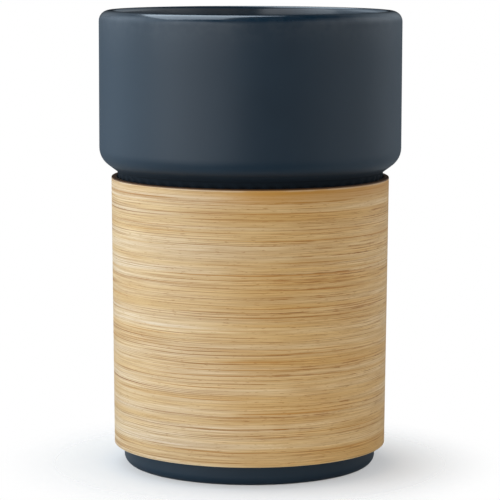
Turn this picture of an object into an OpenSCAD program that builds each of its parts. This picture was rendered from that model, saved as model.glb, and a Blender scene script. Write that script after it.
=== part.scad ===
// Ribbed ceramic mug in a pull-off bamboo sleeve.
// Sizes are in millimetres. The mug stands on its foot ring at z = 0, centred on the z axis.

/* [Mug] */
// Height of the mug, foot to lip
mug_h = 124; // [105:0.5:145]
// Outer diameter of the wide upper band
upper_d = 82.2; // [76:0.2:95]
// Height of the upper band, lip to neck
upper_h = 43.5; // [25:0.5:60]
// Outer diameter over the ribs at the neck
neck_d = 72.4; // [64:0.1:76]
// Outer diameter of the plain base
base_d = 68.8; // [58:0.1:72]
// Thickness of the ceramic wall, behind the ribs
wall = 4; // [2.5:0.1:6]
// Thickness of the floor
floor_t = 5; // [3:0.1:9]
// Slope of the shoulder's underside, from level
shoulder_slope = 36.5; // [15:0.5:55]

/* [Rounds] */
// Radius of the lip's outer edge
lip_outer_r = 2.9; // [0.5:0.1:3.5]
// Radius of the lip's inner edge
lip_inner_r = 1; // [0.3:0.1:2]
// Radius of the shoulder's outer corner
shoulder_r = 5.6; // [1:0.1:9]
// Radius where the shoulder runs into the neck
neck_r = 0.4; // [0.2:0.1:1]
// Radius of the two bends inside the shoulder
inner_bend_r = 5; // [1:0.1:8]
// Radius between the inner wall and the floor
floor_r = 9; // [2:0.5:18]
// Radius of the outer edge at the foot
base_edge_r = 2.5; // [0.5:0.1:4]

/* [Foot ring] */
// Width of the foot ring, from its inner edge to the base's outside
foot_ring_w = 6.5; // [5:0.1:12]
// Depth of the recess inside the foot ring
foot_recess = 1.5; // [0.5:0.1:4]
// Radius of the foot ring's inner edges
foot_inner_r = 0.7; // [0.2:0.1:1.2]

/* [Ribs] */
// Number of upright ribs around the lower body
rib_count = 60; // [36:1:72]
// Radius of the hollow between two ribs
flute_r = 2.2; // [1.5:0.1:3]
// Depth of the hollows at the neck
flute_depth_neck = 0.6; // [0.2:0.05:0.9]
// Depth of the hollows at their lower ends
flute_depth_low = 0.3; // [0.1:0.05:0.6]
// Height of the plain base below the ribs
plain_base_h = 10; // [5:0.5:30]

/* [Sleeve] */
// Thickness of the outer bamboo ply
veneer_t = 0.85; // [0.4:0.05:1.5]
// Thickness of the inner backing ply
backing_t = 0.5; // [0.3:0.05:1]
// Room between the ribs and the sleeve's upper edge, on the radius
sleeve_top_clear = 0.3; // [0.2:0.05:0.8]
// Room between the ribs and the sleeve's lower edge, on the radius
sleeve_bottom_clear = 1.3; // [0.3:0.05:2]
// Distance from the neck down to the sleeve's upper edge
sleeve_top_gap = 1.5; // [0.5:0.1:8]
// Height of the mug's base left bare below the sleeve
sleeve_base_gap = 5.7; // [3.5:0.1:20]
// Radius of the veneer's outer edges
veneer_edge_r = 0.2; // [0.05:0.05:0.35]
// Width of the butt seam in each ply
seam_gap = 0.3; // [0.1:0.05:1]
// Turn between the seams of the two plies
seam_stagger = 24; // [10:1:90]

/* [Hidden] */
// Largest turn between two points of a rounded corner
arc_turn = 6;
// Share of an edge that the rounds at its ends may use up
edge_fill = 0.96;
// Turn of the veneer's seam, at the back of the mug
seam_turn = 90;
// How far a cutter runs past what it cuts
overrun = 1;
// Facets of the turned shapes in the preview
$fn = 180;

// Levels and radii of the mug's outside
upper_r = upper_d / 2;
neck_outer_r = neck_d / 2;
base_outer_r = base_d / 2;
neck_z = mug_h - upper_h;
shoulder_z = neck_z + (upper_r - neck_outer_r) * tan(shoulder_slope);

// Levels and radii of the mug's inside, one wall in from the outside
upper_bore_r = upper_r - wall;
neck_bore_r = neck_outer_r - flute_depth_neck - wall;
base_bore_r = base_outer_r - wall;
floor_z = foot_recess + floor_t;
foot_bore_r = base_outer_r - foot_ring_w;

// Height inside the shoulder, on the line that runs one wall in from its underside
function inner_shoulder_z(r) =
    neck_z + (r - neck_outer_r) * tan(shoulder_slope) + wall / cos(shoulder_slope);

// Radius over the base and the ribs at height z
function rib_r(z) = base_outer_r + (neck_outer_r - base_outer_r) * z / neck_z;

// Corners of the mug's half section as [radius, height, round]
mug_corners = [
    [0, foot_recess, 0],
    [foot_bore_r, foot_recess, foot_inner_r],
    [foot_bore_r, 0, foot_inner_r],
    [base_outer_r, 0, base_edge_r],
    [neck_outer_r, neck_z, neck_r],
    [upper_r, shoulder_z, shoulder_r],
    [upper_r, mug_h, lip_outer_r],
    [upper_bore_r, mug_h, lip_inner_r],
    [upper_bore_r, inner_shoulder_z(upper_bore_r), inner_bend_r],
    [neck_bore_r, inner_shoulder_z(neck_bore_r), inner_bend_r],
    [base_bore_r, floor_z, floor_r],
    [0, floor_z, 0],
];

// Sleeve's levels, and its bore at both edges
sleeve_top_z = neck_z - sleeve_top_gap;
sleeve_bottom_z = sleeve_base_gap;
sleeve_top_bore_r = rib_r(sleeve_top_z) + sleeve_top_clear;
sleeve_bottom_bore_r = rib_r(sleeve_bottom_z) + sleeve_bottom_clear;

// Rounding of an outline whose corners are [x, y, round]
function unit(v) = v / norm(v);
function place(corner) = [corner.x, corner.y];
function before(corners, i) = place(corners[(i + len(corners) - 1) % len(corners)]);
function after(corners, i) = place(corners[(i + 1) % len(corners)]);

// Half the angle between the two edges at corner i
function half_angle(corners, i) =
    let (p = place(corners[i]))
    acos(unit(before(corners, i) - p) * unit(after(corners, i) - p)) / 2;

// Length that the round at corner i takes from each of its edges
function setback(corners, i) = corners[i].z / tan(half_angle(corners, i));

// Share of the rounds at both ends of edge i, from corner i to the next, that the edge has room for
function edge_share(corners, i) =
    let (next = (i + 1) % len(corners))
    let (wanted = setback(corners, i) + setback(corners, next))
    let (room = edge_fill * norm(place(corners[next]) - place(corners[i])))
    wanted > room ? room / wanted : 1;

// Points of the arc at corner i, tangent to both edges, or the bare corner where its round is 0
function corner_points(corners, i) =
    let (p = place(corners[i]))
    let (share = min(edge_share(corners, (i + len(corners) - 1) % len(corners)), edge_share(corners, i)))
    let (r = corners[i].z * share)
    let (half = half_angle(corners, i))
    let (u = unit(before(corners, i) - p))
    let (v = unit(after(corners, i) - p))
    let (centre = p + unit(u + v) * r / sin(half))
    let (start = p + u * r / tan(half) - centre)
    let (end = p + v * r / tan(half) - centre)
    let (sweep = atan2(start.x * end.y - start.y * end.x, start * end))
    let (steps = ceil(abs(sweep) / arc_turn))
    let (from = atan2(start.y, start.x))
    r == 0 ? [p] : [
        for (k = [0 : steps])
            let (turn = from + sweep * k / steps)
            centre + r * [cos(turn), sin(turn)]
    ];

function rounded(corners) = [
    for (i = [0 : len(corners) - 1])
        each corner_points(corners, i)
];

// One upright hollow between the plain base and the neck's round, leaning to grow shallower downwards
module flute_cutter() {
    top_z = neck_z - neck_r;
    low_axis_r = rib_r(plain_base_h) - flute_depth_low + flute_r;
    top_axis_r = rib_r(top_z) - flute_depth_neck + flute_r;
    run = top_axis_r - low_axis_r;
    rise = top_z - plain_base_h;
    translate([low_axis_r, 0, plain_base_h])
        rotate([0, atan(run / rise), 0])
            cylinder(r = flute_r, h = norm([run, rise]));
}

// Turned ceramic body: foot ring, ribbed lower part, neck, shoulder and wide upper band
module mug_body() {
    color([0.24, 0.29, 0.35])
        difference() {
            rotate_extrude()
                polygon(rounded(mug_corners));
            for (i = [0 : rib_count - 1])
                rotate([0, 0, (i + 0.5) * 360 / rib_count])
                    flute_cutter();
        }
}

// One ply of the sleeve, rolled round the z axis, with its ends meeting in a seam
module ply(inset, thickness, edge_r, turn) {
    bottom_r = sleeve_bottom_bore_r + inset;
    top_r = sleeve_top_bore_r + inset;
    section = [
        [bottom_r, sleeve_bottom_z, 0],
        [bottom_r + thickness, sleeve_bottom_z, edge_r],
        [top_r + thickness, sleeve_top_z, edge_r],
        [top_r, sleeve_top_z, 0],
    ];
    difference() {
        rotate_extrude()
            polygon(rounded(section));
        rotate([0, 0, turn])
            translate([0, -seam_gap / 2, sleeve_bottom_z - overrun])
                cube([
                    max(bottom_r, top_r) + thickness + overrun,
                    seam_gap,
                    sleeve_top_z - sleeve_bottom_z + 2 * overrun,
                ]);
    }
}

// Outer ply, bamboo with its grain running round the mug
module sleeve_veneer() {
    color([0.79, 0.66, 0.46])
        ply(backing_t, veneer_t, veneer_edge_r, seam_turn);
}

// Inner ply, a dark brown backing glued to the veneer
module sleeve_backing() {
    color([0.33, 0.21, 0.15])
        ply(0, backing_t, 0, seam_turn + seam_stagger);
}

mug_body();
sleeve_veneer();
sleeve_backing();
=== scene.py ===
"""A ribbed ceramic mug in a pull-off bamboo sleeve: meshes, finishes, studio light and camera.

Lengths are in metres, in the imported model's frame: +Z is up, the foot ring stands on z = 0, and the
photograph was taken from the -Y side.
"""

import logging
import math
from dataclasses import dataclass
from enum import Enum, IntEnum
from functools import cache

import bpy
import numpy as np
from mathutils import Matrix, Vector


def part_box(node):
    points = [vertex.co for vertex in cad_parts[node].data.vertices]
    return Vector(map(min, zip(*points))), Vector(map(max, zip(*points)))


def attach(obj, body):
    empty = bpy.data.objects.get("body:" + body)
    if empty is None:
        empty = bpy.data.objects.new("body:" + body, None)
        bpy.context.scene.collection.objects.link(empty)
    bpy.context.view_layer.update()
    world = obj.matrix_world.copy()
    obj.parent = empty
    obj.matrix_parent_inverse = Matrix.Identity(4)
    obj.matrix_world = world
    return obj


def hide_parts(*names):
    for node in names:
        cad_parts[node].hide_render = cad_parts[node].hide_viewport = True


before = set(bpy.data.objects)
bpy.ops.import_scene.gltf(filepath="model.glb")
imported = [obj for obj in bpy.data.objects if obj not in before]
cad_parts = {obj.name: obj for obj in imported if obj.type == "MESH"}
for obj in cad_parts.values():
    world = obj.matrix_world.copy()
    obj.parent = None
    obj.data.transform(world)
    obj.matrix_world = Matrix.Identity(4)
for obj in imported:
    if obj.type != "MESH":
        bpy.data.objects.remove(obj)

LOG = logging.getLogger("mug")
MM = 0.001
# Angle between two faces from which their edge is sharp
SHARP_TURN = math.radians(50)
# Noise values where a worn patch starts and is full
WORN = (0.35, 0.65)
# Colours of light
WHITE = (1.0, 1.0, 1.0)
COOL = (0.86, 1.0, 1.13)
FRESH = (0.95, 1.0, 1.05)
WARM = (1.12, 1.0, 0.88)

Colour = tuple[float, float, float]
Point = tuple[float, float, float]
Span = tuple[float, float]
Array = np.ndarray
Socket = bpy.types.NodeSocket
Input = Socket | float | tuple


class Layer(Enum):
    """Attributes that the meshes carry for their finishes. The grain is a UV map."""

    GLOSS = "gloss"
    HOLLOW = "hollow"
    # Painted shade in the nook round the neck and under the shoulder
    NOOK_SHADE = "nook"
    BARE = "bare"
    EDGE = "edge"
    GRAIN = "grain"


class Body(Enum):
    """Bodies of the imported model."""

    MUG = "mug"
    SLEEVE = "sleeve"


class Station(IntEnum):
    """Corners of the mug's half section that its masks refer to, by their number."""

    FOOT_INNER = 2
    BASE_EDGE = 3
    NECK = 6
    LIP_OUTER = 8
    LIP_INNER = 9


@dataclass(frozen=True)
class Corner:
    """One corner of a half section.

    Attributes:
        radius, height: Distances from the mug's axis and above the foot.
        round: Radius of the arc that replaces the corner.
        step: Longest distance between two points of the edge that follows.
    """

    radius: float
    height: float
    round: float = 0.0
    step: float = 5 * MM


@dataclass(frozen=True)
class Section:
    """Sampled half section.

    Attributes:
        radius: Distance of each point from the axis.
        height: Height of each point.
        station: Number of the corner that each point lies on. A point between two corners has the
            first one's number plus a half.
        distance: Length of the outline up to each point.
    """

    radius: Array
    height: Array
    station: Array
    distance: Array


@dataclass(frozen=True)
class Outline:
    """Half section made of straight edges with rounded corners.

    Attributes:
        corners: Corners in order, with the solid on the left.
        arc_turn: Largest turn between two points of an arc.
    """

    corners: tuple[Corner, ...]
    arc_turn: float = math.radians(10)

    def sampled(self, closed: bool) -> Section:
        """Samples the outline.

        An arc of radius r is tangent to both edges of its corner. With h as half the corner's
        angle, it starts r / tan(h) before the corner, and its centre lies r / sin(h) away from it
        on the bisector.

        Args:
            closed: Whether an edge joins the last corner to the first.

        Returns:
            The sampled section.
        """
        count = len(self.corners)
        place = np.array([(c.radius, c.height) for c in self.corners])
        rounds = np.array([c.round for c in self.corners])
        back = unit(np.roll(place, 1, axis=0) - place)
        ahead = unit(np.roll(place, -1, axis=0) - place)
        half = np.arccos(np.clip((back * ahead).sum(axis=1), -1, 1)) / 2
        setback = (rounds / np.tan(half))[:, None]
        centre = place + unit(back + ahead) * (rounds / np.sin(half))[:, None]
        start, end = place + back * setback, place + ahead * setback
        runs: list[Array] = []
        stations: list[Array] = []
        for i, corner in enumerate(self.corners):
            arc = place[i : i + 1]
            if corner.round:
                arc = arc_points(centre[i], start[i], end[i], self.arc_turn)
            runs.append(arc)
            stations.append(np.full(len(arc), float(i)))
            if closed or i + 1 < count:
                edge = points_between(end[i], start[(i + 1) % count], corner.step)
                runs.append(edge)
                stations.append(np.full(len(edge), i + 0.5))
        points = np.concatenate(runs)
        steps = np.linalg.norm(np.diff(points, axis=0), axis=1)
        distance = np.concatenate(([0.0], np.cumsum(steps)))
        return Section(points[:, 0], points[:, 1], np.concatenate(stations), distance)


def unit(vectors: Array) -> Array:
    """Gives each row a length of 1, and leaves a row of zeros as it is."""
    length = np.linalg.norm(vectors, axis=-1, keepdims=True)
    return vectors / np.where(length > 0, length, 1)


def arc_points(centre: Array, start: Array, end: Array, turn: float) -> Array:
    """Points on the shorter arc from start to end, evenly spaced in angle.

    Args:
        centre: Centre of the arc.
        start: First point.
        end: Last point.
        turn: Largest turn between two points.

    Returns:
        The points, one a row.
    """
    a, b = start - centre, end - centre
    sweep = math.atan2(a[0] * b[1] - a[1] * b[0], float(a @ b))
    angle = math.atan2(a[1], a[0]) + np.linspace(0, sweep, 1 + math.ceil(abs(sweep) / turn))
    return centre + np.linalg.norm(a) * np.column_stack((np.cos(angle), np.sin(angle)))


def points_between(start: Array, end: Array, step: float) -> Array:
    """Points that split a straight line into equal steps up to the given one, without its ends."""
    count = math.ceil(np.linalg.norm(end - start) / step)
    return start + (end - start) * (np.arange(1, count)[:, None] / count)


def turned(radius: Array | float, angle: Array, height: Array | float) -> Array:
    """Turned surface, row after row: radius r, angle t and height z give (r cos t, r sin t, z)."""
    axes = np.broadcast_arrays(radius * np.cos(angle), radius * np.sin(angle), height)
    return np.stack(axes, axis=-1).reshape(-1, 3)


def eased(value: Array, low: float, high: float) -> Array:
    """Rises from 0 at low to 1 at high as 3t^2 - 2t^3."""
    t = np.clip((value - low) / (high - low), 0, 1)
    return t * t * (3 - 2 * t)


def soft_min(a: Array, b: Array, blend: float) -> Array:
    """Smaller of two surfaces, with the crease between them rounded over the blend distance."""
    share = np.clip(0.5 + 0.5 * (b - a) / blend, 0, 1)
    return b + (a - b) * share - blend * share * (1 - share)


def build_object(
    name: str,
    points: Array,
    faces: list[Array],
    layers: dict[Layer, Array],
    grain: Array | None = None,
) -> bpy.types.Object:
    """Makes a smooth-shaded mesh object at the origin, with sharp edges where faces meet steeply.

    Args:
        name: Name of the piece.
        points: Vertices, one a row.
        faces: Index arrays, each holding faces with one number of corners.
        layers: Value of each attribute at every vertex.
        grain: Place of every face corner on the unrolled sheet, or None.

    Returns:
        The object, linked to the scene.
    """
    mesh = bpy.data.meshes.new(name)
    corners = np.concatenate([f.ravel() for f in faces])
    sizes = np.concatenate([np.full(len(f), f.shape[1]) for f in faces])
    mesh.vertices.add(len(points))
    mesh.vertices.foreach_set("co", points.astype(np.float32).ravel())
    mesh.loops.add(len(corners))
    mesh.loops.foreach_set("vertex_index", corners.astype(np.int32))
    mesh.polygons.add(len(sizes))
    mesh.polygons.foreach_set("loop_start", (np.cumsum(sizes) - sizes).astype(np.int32))
    mesh.polygons.foreach_set("use_smooth", np.ones(len(sizes), bool))
    for layer, values in layers.items():
        data = mesh.attributes.new(layer.value, "FLOAT", "POINT").data
        data.foreach_set("value", values.astype(np.float32).ravel())
    if grain is not None:
        sheet = mesh.uv_layers.new(name=Layer.GRAIN.value)
        sheet.data.foreach_set("uv", grain.astype(np.float32).ravel())
    mesh.update(calc_edges=True)
    mesh.validate()
    mesh.set_sharp_from_angle(angle=SHARP_TURN)
    piece = bpy.data.objects.new(name, mesh)
    bpy.context.scene.collection.objects.link(piece)
    return piece


class Graph:
    """Adds nodes to a shader node tree and links them."""

    def __init__(self, tree: bpy.types.NodeTree) -> None:
        """Empties the tree.

        Args:
            tree: Node tree of a material, a world or a group.
        """
        self.tree = tree
        tree.nodes.clear()

    def node(
        self, kind: str, inputs: dict[str | int, Input] | None = None, **settings: object
    ) -> bpy.types.Node:
        """Adds one node.

        Args:
            kind: Type of the node, without ShaderNode in front.
            inputs: Values or sockets for its inputs, by name or place.
            settings: Values of the node's own properties.

        Returns:
            The new node.
        """
        made = self.tree.nodes.new(kind if kind.startswith("NodeGroup") else f"ShaderNode{kind}")
        for key, value in settings.items():
            setattr(made, key, value)
        for key, value in (inputs or {}).items():
            self.feed(made.inputs[key], value)
        return made

    def feed(self, socket: Socket, value: Input) -> None:
        """Links a socket to another, or sets its value.

        Args:
            socket: Input to fill.
            value: Output socket, number, or colour or vector as a tuple.
        """
        if isinstance(value, Socket):
            self.tree.links.new(value, socket)
        elif socket.type == "RGBA":
            socket.default_value = (*value, 1.0)
        else:
            socket.default_value = value

    def math(self, operation: str, a: Input, b: Input) -> Socket:
        """Result of a Math node on two values."""
        return self.node("Math", {0: a, 1: b}, operation=operation).outputs[0]

    def times(self, a: Input, b: Input) -> Socket:
        """Product of two values."""
        return self.math("MULTIPLY", a, b)

    def vector(self, operation: str, a: Input, b: Input) -> Socket:
        """Result of a Vector Math node on two vectors."""
        return self.node("VectorMath", {0: a, 1: b}, operation=operation).outputs[0]

    def dot(self, a: Input, b: Input) -> Socket:
        """Dot product of two vectors."""
        return self.node("VectorMath", {0: a, 1: b}, operation="DOT_PRODUCT").outputs["Value"]

    def ranged(
        self, value: Input, low: Input, high: Input, start: Input = 0.0, end: Input = 1.0
    ) -> Socket:
        """Value eased from start, where it is at or below low, to end, at or above high."""
        sockets = {0: value, 1: low, 2: high, 3: start, 4: end}
        return self.node("MapRange", sockets, interpolation_type="SMOOTHSTEP").outputs[0]

    def mix(self, share: Input, a: Input, b: Input, blend: str = "MIX") -> Socket:
        """Colour a with a share of colour b."""
        sockets = {0: share, 6: a, 7: b}
        return self.node("Mix", sockets, data_type="RGBA", blend_type=blend).outputs[2]

    def layered(
        self, colour: Input, layers: tuple[tuple[Input, Input], ...], blend: str = "MIX"
    ) -> Input:
        """Colour with layers laid over it.

        Args:
            colour: Colour under the layers.
            layers: Share and colour of each layer, from below.
            blend: How the layers blend with what is under them.

        Returns:
            The result's socket.
        """
        for share, tone in layers:
            colour = self.mix(share, colour, tone, blend)
        return colour

    def noise(self, place: Input, scale: Input, detail: float = 2.0) -> Socket:
        """Soft noise from 0 to 1, with scale features in a metre."""
        return self.node("TexNoise", {"Vector": place, "Scale": scale, "Detail": detail}).outputs[0]

    def bump(self, height: Input, depth: float) -> Socket:
        """Normal of a surface that rises by depth where height is 1."""
        return self.node("Bump", {"Height": height, "Distance": depth, "Strength": 1.0}).outputs[0]

    def layer(self, layer: Layer) -> Socket:
        """Value of one of the mesh's attributes."""
        return self.node("Attribute", attribute_name=layer.value).outputs["Fac"]

    def sheet(self) -> Socket:
        """Place on the unrolled sheet, in metres."""
        return self.node("UVMap", uv_map=Layer.GRAIN.value).outputs[0]

    def place(self) -> Socket:
        """Place on the object, in metres."""
        return self.node("TexCoord").outputs["Object"]

    def group(self, tree: bpy.types.NodeTree, **values: Input) -> Socket:
        """Output of a node group that is given the named values."""
        return self.node("Group", values, node_tree=tree).outputs[0]


def new_group(
    name: str, vector: str, numbers: tuple[str, ...]
) -> tuple[Graph, bpy.types.NodeOutputs, Socket]:
    """Starts a shader node group with one output, a value.

    Args:
        name: Name of the group.
        vector: Name of its vector input.
        numbers: Names of its number inputs.

    Returns:
        The group's graph, the sockets of what it is given, and the socket of its result.
    """
    tree = bpy.data.node_groups.new(name, "ShaderNodeTree")
    tree.interface.new_socket(vector, in_out="INPUT", socket_type="NodeSocketVector")
    for number in numbers:
        tree.interface.new_socket(number, in_out="INPUT", socket_type="NodeSocketFloat")
    tree.interface.new_socket("Value", in_out="OUTPUT", socket_type="NodeSocketFloat")
    graph = Graph(tree)
    return graph, graph.node("NodeGroupInput").outputs, graph.node("NodeGroupOutput").inputs[0]


@cache
def fibre_streaks() -> bpy.types.NodeTree:
    """Fibres along a sheet: noise stretched to Length by Width, cut between Low and High.

    Returns:
        The group's tree, built once.
    """
    numbers = ("Length", "Width", "Seed", "Low", "High")
    graph, given, result = new_group("fibre_streaks", "Grain", numbers)
    sheet = graph.node("SeparateXYZ", {0: given["Grain"]}).outputs
    along = graph.math("DIVIDE", sheet[0], given["Length"])
    across = graph.math("DIVIDE", sheet[1], given["Width"])
    stretched = graph.node("CombineXYZ", {0: along, 1: across, 2: given["Seed"]}).outputs[0]
    fibre = graph.noise(stretched, 1.0)
    graph.feed(result, graph.ranged(fibre, given["Low"], given["High"]))
    return graph.tree


@cache
def rubbed_edge() -> bpy.types.NodeTree:
    """Broken wear: the Edge mask where noise of the given Size lets it through.

    Returns:
        The group's tree, built once.
    """
    graph, given, result = new_group("rubbed_edge", "Place", ("Edge", "Size"))
    scale = graph.math("DIVIDE", 1.0, given["Size"])
    patches = graph.ranged(graph.noise(given["Place"], scale), *WORN)
    graph.feed(result, graph.times(given["Edge"], patches))
    return graph.tree


@dataclass(frozen=True)
class Streak:
    """One layer of fibres along a sheet.

    Attributes:
        length, width: Size of a fibre in millimetres.
        seed: Place of the layer in the noise.
        low, high: Noise values where fibres start to show, and show fully.
        strength: Value of a fibre that shows fully.
    """

    length: float
    width: float
    seed: float
    low: float
    high: float
    strength: float = 1.0

    def mask(self, graph: Graph, grain: Socket) -> Socket:
        """Value of the layer.

        Args:
            graph: Graph of the material.
            grain: Place on the unrolled sheet.

        Returns:
            The value's socket, 0 between the fibres.
        """
        sizes = {"Length": self.length * MM, "Width": self.width * MM}
        cut = {"Seed": self.seed, "Low": self.low, "High": self.high}
        fibre = graph.group(fibre_streaks(), Grain=grain, **sizes, **cut)
        return graph.times(fibre, self.strength)


class Finish:
    """Surface of one kind of piece.

    Attributes:
        name: Name of the material.
    """

    name: str

    def sockets(self, graph: Graph) -> dict[str, Input]:
        """Inputs of the finish's Principled shader.

        Args:
            graph: Graph of the new material.

        Returns:
            Values or sockets, by input name.
        """
        raise NotImplementedError

    def material(self) -> bpy.types.Material:
        """Builds the material.

        Returns:
            The new material.
        """
        made = bpy.data.materials.new(self.name)
        made.use_nodes = True
        graph = Graph(made.node_tree)
        shader = graph.node("BsdfPrincipled", self.sockets(graph))
        graph.node("OutputMaterial", {"Surface": shader.outputs[0]})
        return made


@dataclass(frozen=True)
class GlazeFinish(Finish):
    """Slate-blue glaze: satin outside, glossy over the lip and inside, bare under the foot ring.

    Attributes:
        deep, pale, thin: Colours of thick and thinner glaze, and where it breaks over edges.
        painted_shade: Near-black painted shade in the nook round the neck and under the shoulder.
        clay, clay_rough: Colour and roughness of the bare foot ring.
        patch, patch_detail: Size of the patches of thinner glaze, and finer steps in them.
        patch_cut: Noise values where a patch starts and is full.
        hollow_share: Share of thick glaze in the hollows between the ribs.
        crest_shade: Share of the painted shade on the ribs.
        shade_depth: Share of a hollow's depth from which the painted shade is full.
        thin_share, rub_size: Share of thin glaze on rubbed edges, and size of those patches.
        reflection_shade: Metal share in the painted shade, so its near-black colour dims reflections.
        satin, glossy: Roughness outside, and under the clear coat over the lip and inside.
        uneven: How far the roughness varies with the patches.
        coat, coat_index: Roughness and refractive index of the clear coat.
        peel, peel_depth: Size and height of the glaze's unevenness.
        sheen: Strength of the reflections.
    """

    name: str = "slate_glaze"
    deep: Colour = (0.0070, 0.0215, 0.0378)
    pale: Colour = (0.0088, 0.0258, 0.0444)
    thin: Colour = (0.022, 0.036, 0.052)
    painted_shade: Colour = (0.0015, 0.0030, 0.0050)
    clay: Colour = (0.40, 0.33, 0.25)
    patch: float = 26 * MM
    patch_detail: float = 4.0
    patch_cut: Span = (0.3, 0.7)
    hollow_share: float = 0.5
    crest_shade: float = 0.70
    shade_depth: float = 0.8
    thin_share: float = 0.6
    rub_size: float = 2.5 * MM
    reflection_shade: float = 0.5
    satin: float = 0.44
    glossy: float = 0.22
    uneven: float = 0.06
    clay_rough: float = 0.85
    coat: float = 0.11
    coat_index: float = 1.58
    peel: float = 1.1 * MM
    peel_depth: float = 0.006 * MM
    sheen: float = 0.50

    def sockets(self, graph: Graph) -> dict[str, Input]:
        """Lays thick glaze, painted shade, thin edges and clay over the patches, and fades the gloss.

        Args:
            graph: Graph of the new material.

        Returns:
            Values or sockets, by input name.
        """
        place = graph.place()
        gloss, hollow, nook = map(graph.layer, (Layer.GLOSS, Layer.HOLLOW, Layer.NOOK_SHADE))
        bare, edge = map(graph.layer, (Layer.BARE, Layer.EDGE))
        noise = graph.noise(place, 1 / self.patch, self.patch_detail)
        patches = graph.ranged(noise, *self.patch_cut)
        # Painted shade in the nook, fuller in the hollows than on the ribs
        hollow_shade = graph.ranged(hollow, 0.0, self.shade_depth, self.crest_shade, 1.0)
        shade_share = graph.times(nook, hollow_shade)
        rub = graph.group(rubbed_edge(), Place=place, Edge=edge, Size=self.rub_size)
        layers = (
            (graph.times(hollow, self.hollow_share), self.deep),
            # near-black painted shade over the nook
            (shade_share, self.painted_shade),
            (graph.times(rub, self.thin_share), self.thin),
            (bare, self.clay),
        )
        rough = graph.ranged(gloss, 0.0, 1.0, self.satin, self.glossy)
        change = graph.times(graph.math("SUBTRACT", patches, 0.5), self.uneven)
        matt = graph.math("MAXIMUM", graph.times(bare, self.clay_rough), nook)
        return {
            "Base Color": graph.layered(graph.mix(patches, self.deep, self.pale), layers),
            # painted shade: a metal share with the nook's near-black colour dims its reflections
            "Metallic": graph.times(shade_share, self.reflection_shade),
            "Roughness": graph.math("MAXIMUM", graph.math("ADD", rough, change), matt),
            "Specular IOR Level": self.sheen,
            "Coat Weight": gloss,
            "Coat Roughness": self.coat,
            "Coat IOR": self.coat_index,
            "Normal": graph.bump(graph.noise(place, 1 / self.peel), self.peel_depth),
        }


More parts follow.
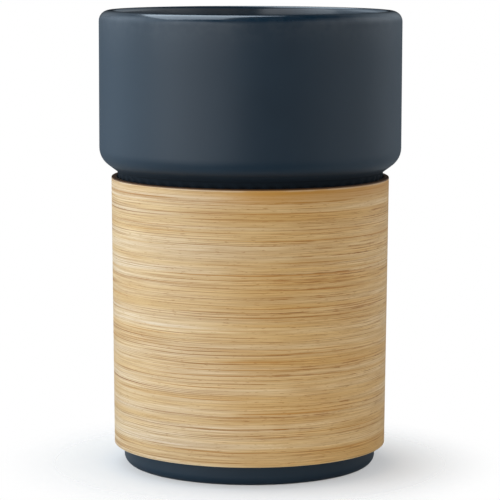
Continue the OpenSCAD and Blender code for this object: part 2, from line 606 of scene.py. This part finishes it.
@dataclass(frozen=True)
class BambooFinish(Finish):
    """Lacquered bamboo veneer with its fibres running along the sheet.

    Attributes:
        width: Width of the sheet, lower edge to upper edge.
        tan, pale: Colours of the darker and paler bands near the sheet's ends.
        amber, honey: Darker and paler bands along its middle, lighter in part as painted light.
        fibre, ember: Tints of the fibre lines near the sheet's ends and along its middle.
        tint, resin, light: Tints of some bands, a few amber lines and the light lines.
        drift, ebb: Distances along the sheet where its tone and painted light change, and change
            back.
        wave, waves: How far the fibres wander, and how often in a metre along and across.
        bands, tints, clusters: Broad bands, tinted bands and bands where fibre lines crowd.
        lines, hairs, dashes, fine: Fibre lines, thin long lines, short dashes and fine fibres.
        resins, lights: Amber lines and light lines.
        breaks, unbroken: Pieces of the lines along the middle, and their strength in between.
        line_share: Strength of the fibre lines between the clusters, and in them.
        fine_share: Strength of the fine fibres.
        toasted, cut: Colours of the upper edge and of the cut faces.
        toasted_band: Distances below the upper edge where its colour starts and is full.
        toasted_streaks: Strength of that colour between the clusters, and in them.
        toasted_drift, toasted_share: Shares of the tone's change, and strength at those.
        rub_top, cut_top: Distances below the upper edge where wear, or the cut face, starts
            and is full.
        rub_low, cut_low: Distances above the lower edge where they are full and end.
        rub_size, rub_share: Size of rubbed patches, and share of pale beside and in them.
        rough, line_rough: Roughness between the fibre lines, and what the lines add.
        sheen: Strength of the reflections.
        depth, line_depth: Depth of the fine fibres, and of the lines as a share of it.
    """

    width: float
    name: str = "bamboo"
    tan: Colour = (0.630, 0.444, 0.230)
    pale: Colour = (0.698, 0.548, 0.364)
    amber: Colour = (0.746, 0.468, 0.175)
    honey: Colour = (0.816, 0.575, 0.284)
    tint: Colour = (1.0, 0.940, 0.78)
    fibre: Colour = (0.55, 0.34, 0.09)
    ember: Colour = (0.57, 0.32, 0.05)
    resin: Colour = (0.76, 0.53, 0.21)
    light: Colour = (1.08, 1.12, 1.24)
    drift: Span = (88 * MM, 142 * MM)
    ebb: Span = (172 * MM, 226 * MM)
    wave: float = 0.8 * MM
    waves: Point = (24, 60, 0)
    bands: Streak = Streak(150, 4.2, 1.0, 0.38, 0.62)
    tints: Streak = Streak(70, 2.4, 8.0, 0.36, 0.64)
    clusters: Streak = Streak(110, 3.2, 2.0, 0.40, 0.58)
    lines: Streak = Streak(80, 0.40, 3.0, 0.56, 0.63)
    line_share: Span = (0.26, 0.94)
    breaks: Streak = Streak(6, 0.50, 10.0, 0.42, 0.60)
    unbroken: float = 0.25
    hairs: Streak = Streak(120, 0.22, 7.0, 0.57, 0.63, strength=0.68)
    dashes: Streak = Streak(2.4, 0.32, 6.0, 0.62, 0.70, strength=0.5)
    resins: Streak = Streak(95, 0.52, 9.0, 0.60, 0.67, strength=0.85)
    lights: Streak = Streak(60, 0.42, 5.0, 0.54, 0.66, strength=0.45)
    fine: Streak = Streak(14, 0.22, 4.0, 0.36, 0.64)
    fine_share: float = 0.35
    toasted: Colour = (0.55, 0.242, 0.024)
    toasted_band: Span = (6.5 * MM, 1.0 * MM)
    toasted_streaks: Span = (0.75, 1.0)
    toasted_drift: Span = (0.05, 0.65)
    toasted_share: Span = (0.18, 0.97)
    rub_top: Span = (0.95 * MM, 0.65 * MM)
    rub_low: Span = (-0.10 * MM, 0.25 * MM)
    rub_size: float = 9 * MM
    rub_share: Span = (0.10, 0.45)
    cut: Colour = (0.105, 0.040, 0.007)
    cut_top: Span = (0.52 * MM, 0.30 * MM)
    cut_low: Span = (-0.30 * MM, -0.20 * MM)
    rough: float = 0.48
    line_rough: float = 0.10
    sheen: float = 0.44
    depth: float = 0.006 * MM
    line_depth: float = 0.5

    def sockets(self, graph: Graph) -> dict[str, Input]:
        """Lays the layers of fibres over the bands, and then the sheet's edges over them.

        Args:
            graph: Graph of the new material.

        Returns:
            Values or sockets, by input name.
        """
        sheet = graph.sheet()
        along, up = graph.node("SeparateXYZ", {0: sheet}).outputs[:2]
        wander = graph.noise(graph.vector("MULTIPLY", sheet, self.waves), 1.0)
        shift = graph.times(graph.math("SUBTRACT", wander, 0.5), self.wave)
        across = graph.math("ADD", up, shift)
        grain = graph.node("CombineXYZ", {0: along, 1: across}).outputs[0]

        def mask(streak: Streak) -> Socket:
            """Value of one layer of fibres."""
            return streak.mask(graph, grain)

        # Partly painted light: the middle, over the front and the dimmer right side, gets lighter
        # colours
        back = graph.ranged(along, *self.ebb, 1.0, 0.0)
        drift = graph.times(graph.ranged(along, *self.drift), back)
        clusters, lines, fine = map(mask, (self.clusters, self.lines, self.fine))
        whole = graph.ranged(drift, 0.0, 1.0, 1.0, self.unbroken)
        breaks = graph.math("MAXIMUM", mask(self.breaks), whole)
        crowded = graph.times(lines, graph.ranged(clusters, 0.0, 1.0, *self.line_share))
        dark = graph.mix(drift, self.tan, self.amber)
        bright = graph.mix(drift, self.pale, self.honey)
        fibre = graph.mix(drift, self.fibre, self.ember)
        layers = (
            (mask(self.tints), self.tint),
            (self.fine_share, graph.mix(fine, self.light, fibre)),
            (mask(self.lights), self.light),
            (graph.times(crowded, breaks), fibre),
            (mask(self.resins), self.resin),
            (graph.times(mask(self.hairs), breaks), fibre),
            (mask(self.dashes), fibre),
        )
        bands = graph.mix(mask(self.bands), dark, bright)
        grained = graph.layered(bands, layers, "MULTIPLY")
        edge = self._ends(graph, up, self.rub_top, self.rub_low)
        rub = graph.group(rubbed_edge(), Place=graph.place(), Edge=edge, Size=self.rub_size)
        beside = graph.times(edge, self.rub_share[0])
        edges = (
            (self._toast(graph, up, clusters, drift), self.toasted),
            (graph.ranged(rub, 0.0, 1.0, beside, self.rub_share[1]), self.pale),
            (self._ends(graph, up, self.cut_top, self.cut_low), self.cut),
        )
        depth = graph.math("ADD", graph.times(lines, self.line_depth), fine)
        return {
            "Base Color": graph.layered(grained, edges),
            "Roughness": graph.math("ADD", self.rough, graph.times(lines, self.line_rough)),
            "Specular IOR Level": self.sheen,
            "Normal": graph.bump(graph.math("SUBTRACT", 1.0, depth), self.depth),
        }

    def _top(self, graph: Graph, up: Socket, span: Span) -> Socket:
        """Rises from 0 to 1 between two distances below the upper edge."""
        return graph.ranged(up, self.width - span[0], self.width - span[1])

    def _ends(self, graph: Graph, up: Socket, top: Span, low: Span) -> Socket:
        """Mask along both edges: rises below the upper one, and falls above the lower one."""
        return graph.math("ADD", graph.ranged(up, *low, 1.0, 0.0), self._top(graph, up, top))

    def _toast(self, graph: Graph, up: Socket, clusters: Socket, drift: Socket) -> Socket:
        """Share of toasted colour along the upper edge, stronger along the sheet's middle.

        Args:
            graph: Graph of the material.
            up: Distance above the lower edge.
            clusters: Bands where fibre lines crowd.
            drift: Share of the middle's tone.

        Returns:
            The share's socket.
        """
        streaks = graph.ranged(clusters, 0.0, 1.0, *self.toasted_streaks)
        band = graph.times(self._top(graph, up, self.toasted_band), streaks)
        return graph.times(band, graph.ranged(drift, *self.toasted_drift, *self.toasted_share))


@dataclass(frozen=True)
class BackingFinish(Finish):
    """Dark brown backing ply, matt, with faint fibres.

    Attributes:
        dark, fibre: Colours of the ply and of its paler fibres.
        coarse, fine: Layers of fibres.
        fine_share: Share of the paler colour in the fine fibres.
        rough, fine_rough: Roughness, and what the fine fibres add.
        depth: Depth of the fine fibres.
    """

    name: str = "backing"
    dark: Colour = (0.055, 0.030, 0.018)
    fibre: Colour = (0.13, 0.072, 0.040)
    coarse: Streak = Streak(40, 0.8, 8.0, 0.4, 0.7, strength=0.5)
    fine: Streak = Streak(15, 0.2, 9.0, 0.4, 0.7)
    fine_share: float = 0.4
    rough: float = 0.7
    fine_rough: float = 0.1
    depth: float = 0.03 * MM

    def sockets(self, graph: Graph) -> dict[str, Input]:
        """Mixes two layers of fibres into the brown.

        Args:
            graph: Graph of the new material.

        Returns:
            Values or sockets, by input name.
        """
        grain = graph.sheet()
        coarse, fine = (s.mask(graph, grain) for s in (self.coarse, self.fine))
        share = graph.math("ADD", coarse, graph.times(fine, self.fine_share))
        return {
            "Base Color": graph.mix(share, self.dark, self.fibre),
            "Roughness": graph.math("ADD", self.rough, graph.times(fine, self.fine_rough)),
            "Normal": graph.bump(fine, self.depth),
        }


@dataclass(frozen=True)
class FloorFinish(Finish):
    """Pale studio floor that fades into the white backdrop, for the camera sooner than for light.

    Attributes:
        colour, mirrored: Colours of the floor itself, and of the floor in reflections.
        seen: Distances from the mug's axis where the camera sees it start to fade, and gone.
        wide: The same distances for the light that it gives back.
        front: Distances in front of the axis where it ends, and where it starts to fade.
        cover: Share of the backdrop's white that it hides from a camera above it.
    """

    name: str = "studio_floor"
    colour: Colour = (0.95, 0.95, 0.95)
    mirrored: Colour = (0.50, 0.50, 0.50)
    seen: Span = (0.030, 0.072)
    wide: Span = (0.20, 0.45)
    front: Span = (0.11, 0.05)
    cover: float = 0.65

    def sockets(self, graph: Graph) -> dict[str, Input]:
        """Fades the floor by its distance from the axis, and sooner in front.

        Args:
            graph: Graph of the new material.

        Returns:
            Values or sockets, by input name.
        """
        place = graph.place()
        radius = graph.node("VectorMath", {0: place}, operation="LENGTH").outputs["Value"]
        depth = graph.node("SeparateXYZ", {0: place}).outputs[1]
        path = graph.node("LightPath").outputs
        camera = path["Is Camera Ray"]
        near, far = (
            graph.math("ADD", wide, graph.times(camera, seen - wide))
            for seen, wide in zip(self.seen, self.wide)
        )
        around = graph.ranged(radius, near, far, 1.0, 0.0)
        ahead = graph.ranged(depth, -self.front[0], -self.front[1])
        below = graph.node("NewGeometry").outputs["Backfacing"]
        cover = graph.ranged(camera, 0.0, 1.0, 1.0, graph.ranged(below, 0.0, 1.0, self.cover, 0.0))
        return {
            "Base Color": graph.mix(path["Is Glossy Ray"], self.colour, self.mirrored),
            "Roughness": 1.0,
            "Specular IOR Level": 0.0,
            "Alpha": graph.times(graph.times(around, ahead), cover),
        }


def dress(
    piece: bpy.types.Object, material: bpy.types.Material, node: str, body: Body
) -> bpy.types.Object:
    """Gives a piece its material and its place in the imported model.

    Args:
        piece: The finished piece.
        material: Its material.
        node: Node that it replaces.
        body: Body that it rides on.

    Returns:
        The piece.
    """
    piece.data.materials.append(material)
    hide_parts(node)
    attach(piece, body.value)
    return piece


@dataclass(frozen=True)
class Mug:
    """Ceramic body, turned about the z axis, with upright hollows, the flutes, between its ribs.

    Attributes:
        height, neck_height: Heights of the lip and of the neck.
        upper_radius, base_radius: Outer radii of the upper band and at the foot.
        neck_radius: Outer radius at the neck, over the ribs.
        upper_bore, neck_bore, base_bore: Inner radii of the upper band, the neck and the floor.
        floor_height: Height of the floor inside.
        recess, foot_bore: Depth and radius of the recess inside the foot ring.
        wall: Thickness of the wall.
        slope: Slope of the shoulder's underside.
        foot_round, base_round: Radii of the foot ring's inner edges and of its outer edge.
        neck_round, shoulder_round: Radii of the neck and of the shoulder's outer corner.
        lip_outer_round, lip_inner_round: Radii of the lip's two edges.
        bend_round, floor_round: Radii of both bends inside the shoulder, and round the floor.
        flat_step, fade_step, rib_step, shoulder_step: Longest distances between the mesh's rows
            on the flats, where the hollows fade out, on the ribs and on the shoulder.
        rib_count, rib_columns: Number of upright ribs, and of the mesh's columns for each.
        flute_radius: Radius of a hollow.
        flute_depth_neck, flute_depth_low: Depths of a hollow at the neck and at its lower end.
        flute_top: Distances below the neck where a hollow starts to end, and has ended.
        crease: Width of the blend between a hollow and its ribs.
        plain_base: Height of the plain base below the ribs.
        run_out: Height over which a hollow fades out at its lower end.
        gloss_full, gloss_reach, gloss_tail: Distances below the lip where the gloss starts to
            fade, turns faint and has gone.
        gloss_faint: Share of the gloss where it turns faint.
        nook_drop: Distance below the neck of the middle of the painted shade in the nook.
        nook_full, nook_reach: Distances from its middle where it starts to fade, and has gone.
        nook_shoulder: Share of that painted shade on the shoulder.
        bare_height: Height up to which the foot ring is bare.
    """

    height: float
    upper_radius: float
    neck_height: float = 80.5 * MM
    neck_radius: float = 36.2 * MM
    base_radius: float = 34.4 * MM
    upper_bore: float = 37.1 * MM
    neck_bore: float = 31.6 * MM
    base_bore: float = 30.4 * MM
    floor_height: float = 6.5 * MM
    recess: float = 1.5 * MM
    foot_bore: float = 27.9 * MM
    wall: float = 4.0 * MM
    slope: float = math.radians(36.5)
    foot_round: float = 0.7 * MM
    base_round: float = 2.5 * MM
    neck_round: float = 0.4 * MM
    shoulder_round: float = 5.6 * MM
    lip_outer_round: float = 2.9 * MM
    lip_inner_round: float = 1.0 * MM
    bend_round: float = 5.0 * MM
    floor_round: float = 9.0 * MM
    flat_step: float = 8 * MM
    fade_step: float = 0.5 * MM
    rib_step: float = 2.5 * MM
    shoulder_step: float = 0.6 * MM
    rib_count: int = 60
    rib_columns: int = 10
    flute_radius: float = 2.2 * MM
    flute_depth_neck: float = 0.6 * MM
    flute_depth_low: float = 0.3 * MM
    flute_top: Span = (1.0 * MM, 0.3 * MM)
    crease: float = 0.2 * MM
    plain_base: float = 10 * MM
    run_out: float = 2.5 * MM
    gloss_full: float = 0.6 * MM
    gloss_reach: float = 2.8 * MM
    gloss_tail: float = 13 * MM
    gloss_faint: float = 0.12
    nook_drop: float = 1.0 * MM
    nook_full: float = 1.5 * MM
    nook_reach: float = 5.0 * MM
    nook_shoulder: float = 0.75
    bare_height: float = 0.12 * MM

    @classmethod
    def from_frame(cls) -> "Mug":
        """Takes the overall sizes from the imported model."""
        _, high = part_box("mug_body")
        return cls(height=high.z, upper_radius=min(high.x, high.y))

    def rib_radius(self, height: Array | float) -> Array | float:
        """Radius over the base and the ribs at a height."""
        return self.base_radius + (self.neck_radius - self.base_radius) * height / self.neck_height

    def inner_shoulder(self, radius: float) -> float:
        """Height inside the shoulder, one wall in from its underside."""
        rise = (radius - self.neck_radius) * math.tan(self.slope)
        return self.neck_height + rise + self.wall / math.cos(self.slope)

    def section(self) -> Section:
        """Half section from the underside's centre, over the lip, to the floor's centre inside.

        Returns:
            The sampled section.
        """
        fade_end = self.plain_base + self.run_out
        shoulder = self.neck_height + (self.upper_radius - self.neck_radius) * math.tan(self.slope)
        corners = (
            Corner(0, self.recess, step=self.flat_step),
            Corner(self.foot_bore, self.recess, self.foot_round),
            Corner(self.foot_bore, 0, self.foot_round),
            Corner(self.base_radius, 0, self.base_round),
            Corner(self.rib_radius(self.plain_base), self.plain_base, step=self.fade_step),
            Corner(self.rib_radius(fade_end), fade_end, step=self.rib_step),
            Corner(self.neck_radius, self.neck_height, self.neck_round, self.shoulder_step),
            Corner(self.upper_radius, shoulder, self.shoulder_round),
            Corner(self.upper_radius, self.height, self.lip_outer_round),
            Corner(self.upper_bore, self.height, self.lip_inner_round),
            Corner(self.upper_bore, self.inner_shoulder(self.upper_bore), self.bend_round),
            Corner(self.neck_bore, self.inner_shoulder(self.neck_bore), self.bend_round),
            Corner(self.base_bore, self.floor_height, self.floor_round, self.flat_step),
            Corner(0, self.floor_height),
        )
        return Outline(corners).sampled(closed=False)

    def fluted(self, section: Section, angle: Array) -> Array:
        """Radius of the surface at every row and column.

        A hollow is part of a cylinder whose axis leans from one depth to the other. At the angle d
        from its middle its radius is a cos d - sqrt(r^2 - (a sin d)^2), where a is the distance of
        its axis and r its own radius. The surface is the lesser of that and the turned outline.

        Args:
            section: The turned outline.
            angle: Angle of each column.

        Returns:
            One row for each point of the section, one column for each angle.
        """
        crest = np.repeat(section.radius[:, None], len(angle), axis=1)
        height = section.height[:, None]
        rise = np.clip((height - self.plain_base) / (self.neck_height - self.plain_base), 0, 1)
        depth = self.flute_depth_low + (self.flute_depth_neck - self.flute_depth_low) * rise
        axis = self.rib_radius(height) - depth + self.flute_radius
        pitch = 2 * math.pi / self.rib_count
        turn = np.mod(angle, pitch)[None, :] - pitch / 2
        arc = np.sqrt(self.flute_radius**2 - (axis * np.sin(turn)) ** 2)
        change = soft_min(crest, axis * np.cos(turn) - arc, self.crease) - crest
        low_end = eased(height, self.plain_base, self.plain_base + self.run_out)
        top_end = 1 - eased(height, *(self.neck_height - below for below in self.flute_top))
        outside = (section.station >= Station.BASE_EDGE) & (section.station <= Station.NECK)
        return crest + change * low_end * top_end * outside[:, None]

    def build(self) -> bpy.types.Object:
        """Turns the section about the z axis and closes both poles with fans.

        Returns:
            The mug's piece.
        """
        section = self.section()
        columns = self.rib_count * self.rib_columns
        angle = np.arange(columns) * 2 * math.pi / columns
        radius = self.fluted(section, angle)[1:-1]
        wall = turned(radius, angle, section.height[1:-1, None])
        poles = np.array([(0, 0, section.height[0]), (0, 0, section.height[-1])])
        index = np.arange(radius.size).reshape(radius.shape)
        ahead = np.roll(index, -1, axis=1)
        quads = np.stack((index[:-1], ahead[:-1], ahead[1:], index[1:]), axis=-1).reshape(-1, 4)
        under = np.stack((np.full(columns, radius.size), ahead[0], index[0]), axis=-1)
        inside = np.stack((index[-1], ahead[-1], np.full(columns, radius.size + 1)), axis=-1)
        hollow = (section.radius[1:-1, None] - radius) / self.flute_depth_neck
        low = section.height < self.bare_height
        lip = np.isin(section.station, (Station.LIP_OUTER, Station.LIP_INNER))
        masks = {
            Layer.GLOSS: self._gloss(section),
            Layer.BARE: (section.station >= Station.FOOT_INNER) & low,
            Layer.EDGE: lip,
            # painted shade in the nook under the shoulder
            Layer.NOOK_SHADE: self._nook_shade(section),
        }
        layers = {layer: self._spread(mask, columns) for layer, mask in masks.items()}
        layers[Layer.HOLLOW] = np.append(hollow, (0, 0))
        faces = [quads, np.concatenate((under, inside))]
        return build_object("mug", np.concatenate((wall, poles)), faces, layers)

    def dressed(self) -> list[bpy.types.Object]:
        """The mug in its glaze."""
        glaze = GlazeFinish().material()
        return [dress(self.build(), glaze, "mug_body", Body.MUG)]

    def _gloss(self, section: Section) -> Array:
        """Share of gloss: full inside and over the lip, with a faint tail below it.

        Args:
            section: The turned outline.

        Returns:
            The share at each point.
        """
        below = self.height - section.height
        lip = 1 - eased(below, self.gloss_full, self.gloss_reach)
        tail = 1 - eased(below, self.gloss_reach, self.gloss_tail)
        outside = (1 - self.gloss_faint) * lip + self.gloss_faint * tail
        return np.where(section.station <= Station.LIP_OUTER, outside, 1.0)

    def _nook_shade(self, section: Section) -> Array:
        """Share of painted shade: full on the ribs under the neck, less on the shoulder, then fading.

        Args:
            section: The turned outline.

        Returns:
            The share at each point.
        """
        away = np.abs(section.height - self.neck_height + self.nook_drop)
        parts = [section.station <= Station.NECK, section.station < Station.LIP_OUTER]
        share = np.select(parts, [1.0, self.nook_shoulder], 0.0)
        return share * (1 - eased(away, self.nook_full, self.nook_reach))

    @staticmethod
    def _spread(values: Array, columns: int) -> Array:
        """Gives every column the section's values, with the two poles last."""
        return np.append(np.repeat(values[1:-1], columns), (values[0], values[-1]))


@dataclass(frozen=True)
class Ply:
    """One ply of the sleeve: a strip rolled round the z axis, with its ends meeting in a seam.

    Attributes:
        name: Name of the piece.
        bottom, top: Heights of the lower and the upper edge.
        bottom_bore, top_bore: Inner radii there.
        thickness: Thickness of the ply.
        edge_round: Radius of the outer edges.
        seam, seam_gap: Angle and width of the seam.
        columns: Columns of the mesh.
    """

    name: str
    bottom: float
    top: float
    bottom_bore: float
    top_bore: float
    thickness: float
    edge_round: float
    seam: float
    seam_gap: float = 0.3 * MM
    columns: int = 361

    def build(self) -> bpy.types.Object:
        """Rolls the strip.

        A point at radius r and height z of the strip's section is (r cos t, r sin t, z), where t
        runs evenly from one side of the seam round to the other.

        Returns:
            The ply's piece.
        """
        corners = (
            Corner(self.bottom_bore, self.bottom),
            Corner(self.bottom_bore + self.thickness, self.bottom, self.edge_round),
            Corner(self.top_bore + self.thickness, self.top, self.edge_round),
            Corner(self.top_bore, self.top),
        )
        section = Outline(corners).sampled(closed=True)
        mean = (self.bottom_bore + self.top_bore) / 2
        half_gap = self.seam_gap / 2 / mean
        turn = np.linspace(half_gap, 2 * math.pi - half_gap, self.columns)
        points = turned(section.radius[:, None], self.seam + turn, section.height[:, None])
        index = np.arange(len(points)).reshape(-1, self.columns)
        ahead = np.roll(index, -1, axis=0)
        quads = np.stack((index[:, :-1], index[:, 1:], ahead[:, 1:], ahead[:, :-1]), axis=-1)
        faces = [quads.reshape(-1, 4), index[:, 0][None], index[::-1, -1][None]]
        return build_object(self.name, points, faces, {}, self._grain(section, turn * mean))

    def _grain(self, section: Section, along: Array) -> Array:
        """Place of every face corner on the unrolled sheet.

        The first axis is the arc length at the mean radius, the second the distance up the outer
        face, which goes on round the section.

        Args:
            section: The ply's section.
            along: Arc length of each column.

        Returns:
            The places of the quads' corners and then of the two ends' corners, one a row.
        """
        lap = math.dist(*zip(section.radius[[0, -1]], section.height[[0, -1]]))
        up = np.append(section.distance, section.distance[-1] + lap) - self.thickness
        left, right, low, high = along[:-1], along[1:], up[:-1, None], up[1:, None]
        sides = np.broadcast_arrays(left, low, right, low, right, high, left, high)
        quads = np.stack(sides, axis=-1).reshape(-1, 2)
        start = np.column_stack((np.full(len(low), along[0]), up[:-1]))
        end = np.column_stack((np.full(len(low), along[-1]), up[-2::-1]))
        return np.concatenate((quads, start, end))


@dataclass(frozen=True)
class Sleeve:
    """Two-ply bamboo sleeve that slides off the mug's foot end.

    Attributes:
        bottom, top: Heights of the lower and the upper edge.
        top_radius: Outer radius at the upper edge.
        bottom_inset: How much narrower the sleeve is at its lower edge.
        veneer, backing: Thickness of the outer and of the inner ply.
        edge_round: Radius of the veneer's outer edges.
        seam, stagger: Angle of the veneer's seam, at the back, and turn to the backing's.
    """

    bottom: float
    top: float
    top_radius: float
    bottom_inset: float = 0.64 * MM
    veneer: float = 0.85 * MM
    backing: float = 0.5 * MM
    edge_round: float = 0.2 * MM
    seam: float = math.radians(90)
    stagger: float = math.radians(24)

    @classmethod
    def from_frame(cls) -> "Sleeve":
        """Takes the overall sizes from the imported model."""
        low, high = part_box("sleeve_veneer")
        return cls(bottom=low.z, top=high.z, top_radius=high.x)

    def dressed(self) -> list[bpy.types.Object]:
        """Both plies in their finishes.

        Returns:
            The sleeve's pieces.
        """
        bamboo = BambooFinish(width=self.top - self.bottom).material()
        backing = BackingFinish().material()
        return [
            dress(self.outer_ply().build(), bamboo, "sleeve_veneer", Body.SLEEVE),
            dress(self.inner_ply().build(), backing, "sleeve_backing", Body.SLEEVE),
        ]

    def outer_ply(self) -> Ply:
        """Bamboo veneer."""
        return self._ply("bamboo_veneer", self.top_radius, self.veneer, self.edge_round, self.seam)

    def inner_ply(self) -> Ply:
        """Brown backing, inside the veneer."""
        radius = self.top_radius - self.veneer
        return self._ply("backing_ply", radius, self.backing, 0.0, self.seam + self.stagger)

    def _ply(
        self, name: str, radius: float, thickness: float, edge_round: float, seam: float
    ) -> Ply:
        """One ply, from its outer radius at the upper edge and its other sizes."""
        bores = radius - thickness - self.bottom_inset, radius - thickness
        return Ply(name, self.bottom, self.top, *bores, thickness, edge_round, seam)


@dataclass(frozen=True)
class Glow:
    """Soft bright part of the room, far away.

    Attributes:
        towards: Direction of its middle.
        spread: Angle from its middle to its edge, in degrees.
        level: Brightness in the middle.
        colour: Colour of its light.
        full: Angle from its middle up to which it is at full brightness, in degrees.
    """

    towards: Point
    spread: float
    level: float
    colour: Colour = WHITE
    full: float = 0.0

    def light(self, graph: Graph, direction: Socket) -> Socket:
        """Light that comes from a direction.

        Args:
            graph: Graph of the world.
            direction: Direction that is looked at.

        Returns:
            The light's colour.
        """
        along = graph.dot(direction, tuple(Vector(self.towards).normalized()))
        edge, full = math.cos(math.radians(self.spread)), math.cos(math.radians(self.full))
        share = graph.ranged(along, edge, full, 0.0, self.level)
        sockets = {0: self.colour, "Scale": share}
        return graph.node("VectorMath", sockets, operation="SCALE").outputs[0]


@dataclass(frozen=True)
class Studio:
    """Floor, softbox and soft room light round the mug.

    Attributes:
        floor_radius, floor_sides: Radius of the floor, and number of its sides.
        floor_drop: Gap between the floor and the foot, so that their faces don't coincide.
        mirrored: Share of the room's brightness that reflections show.
        sight: Direction from the camera to the backdrop's middle.
        backdrop: Angles from it where the white backdrop ends and is full, in degrees.
        glows: Bright parts of the room.
        lamp_place, lamp_target: Centre of the softbox, and point that it faces.
        lamp_size, lamp_power: Sides of the softbox, and its power in watts.
    """

    floor_radius: float = 0.5
    floor_sides: int = 96
    floor_drop: float = 0.05 * MM
    mirrored: float = 0.55
    sight: Point = (0.0, 0.992, -0.126)
    backdrop: Span = (6.5, 5.5)
    glows: tuple[Glow, ...] = (
        Glow((-1.0, 0.0, 0.15), 60, 1.78, COOL),
        Glow((-0.69, -0.72, 0.08), 40, 1.80, FRESH, full=29),
        Glow((-0.75, 0.65, 0.15), 50, 0.58, COOL),
        Glow((0.0, -1.0, 0.10), 50, 0.26, WARM),
        Glow((0.75, -0.65, 0.15), 50, 0.37),
        Glow((1.0, 0.0, 0.15), 60, 0.88, FRESH),
        Glow((0.75, 0.65, 0.15), 50, 0.68, COOL),
    )
    lamp_place: Point = (-0.358, 0.347, 1.12)
    lamp_target: Point = (0.07, 0.186, 0.12)
    lamp_size: Span = (1.34, 0.69)
    lamp_power: float = 5.6

    def build(self) -> None:
        """Adds the floor, the softbox and the room light."""
        floor = self._floor()
        floor.data.materials.append(FloorFinish().material())
        self._softbox()
        self._room()

    def _floor(self) -> bpy.types.Object:
        """Flat disc a hair below the foot: a fan of triangles round its centre.

        Returns:
            The floor's object.
        """
        index = np.arange(self.floor_sides)
        angle = index * 2 * math.pi / self.floor_sides
        edge = turned(self.floor_radius, angle, -self.floor_drop)
        centre = np.full(self.floor_sides, self.floor_sides)
        fan = np.stack((index, np.roll(index, -1), centre), axis=-1)
        return build_object("floor", np.vstack((edge, (0, 0, -self.floor_drop))), [fan], {})

    def _softbox(self) -> None:
        """Rectangular lamp above the mug, hidden from the camera."""
        light = bpy.data.lights.new("overhead", "AREA")
        light.shape = "RECTANGLE"
        light.size, light.size_y = self.lamp_size
        light.energy = self.lamp_power
        light.color = COOL
        lamp = bpy.data.objects.new("overhead", light)
        aim = Vector(self.lamp_target) - Vector(self.lamp_place)
        lamp.location = self.lamp_place
        lamp.rotation_euler = aim.to_track_quat("-Z", "Y").to_euler()
        lamp.visible_camera = False
        bpy.context.scene.collection.objects.link(lamp)

    def _room(self) -> None:
        """White for the camera and, behind the mug, for reflections; bright parts for the light."""
        world = bpy.data.worlds.new("room")
        world.use_nodes = True
        bpy.context.scene.world = world
        graph = Graph(world.node_tree)
        direction = graph.node("TexCoord").outputs["Generated"]
        total, *others = (glow.light(graph, direction) for glow in self.glows)
        for other in others:
            total = graph.vector("ADD", total, other)
        path = graph.node("LightPath").outputs
        strength = graph.ranged(path["Is Glossy Ray"], 0.0, 1.0, 1.0, self.mirrored)
        light = graph.node("Background", {"Color": total, "Strength": strength})
        white = graph.node("Background", {"Color": WHITE, "Strength": 1.0})
        edge, full = (math.cos(math.radians(angle)) for angle in self.backdrop)
        behind = graph.ranged(graph.dot(direction, self.sight), edge, full)
        reflected = graph.times(path["Is Glossy Ray"], behind)
        seen = graph.math("MAXIMUM", path["Is Camera Ray"], path["Is Transmission Ray"])
        share = graph.math("MAXIMUM", seen, reflected)
        both = graph.node("MixShader", {0: share, 1: light.outputs[0], 2: white.outputs[0]})
        graph.node("OutputWorld", {"Surface": both.outputs[0]})


@dataclass(frozen=True)
class PhotoCamera:
    """Camera that matches the photograph.

    Attributes:
        place: Place of the lens.
        pitch, roll: Turns below level and about the line of sight.
        lens, sensor: Focal length and width of the sensor in millimetres.
        clip: Distances between which it sees.
    """

    place: Point = (0.0, -0.6862, 0.1454)
    pitch: float = math.radians(7.214)
    roll: float = math.radians(0.16)
    lens: float = 181.8
    sensor: float = 36.0
    clip: Span = (0.01, 50.0)

    def build(self) -> None:
        """Adds the camera and makes it the scene's."""
        data = bpy.data.cameras.new("photo_camera")
        data.sensor_width = self.sensor
        data.lens = self.lens
        data.clip_start, data.clip_end = self.clip
        camera = bpy.data.objects.new("photo_camera", data)
        tilt = Matrix.Rotation(math.pi / 2 - self.pitch, 4, "X")
        roll = Matrix.Rotation(self.roll, 4, "Z")
        camera.matrix_world = Matrix.Translation(self.place) @ tilt @ roll
        bpy.context.scene.collection.objects.link(camera)
        bpy.context.scene.camera = camera


def main() -> None:
    """Builds the mug, its sleeve, the studio and the camera."""
    logging.basicConfig(level=logging.INFO, format="%(message)s")
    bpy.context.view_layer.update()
    for assembly in (Mug.from_frame(), Sleeve.from_frame()):
        for piece in assembly.dressed():
            LOG.info("%s: %d vertices", piece.name, len(piece.data.vertices))
    Studio().build()
    PhotoCamera().build()
    bpy.context.scene.view_settings.view_transform = "Standard"


if __name__ == "__main__":
    main()
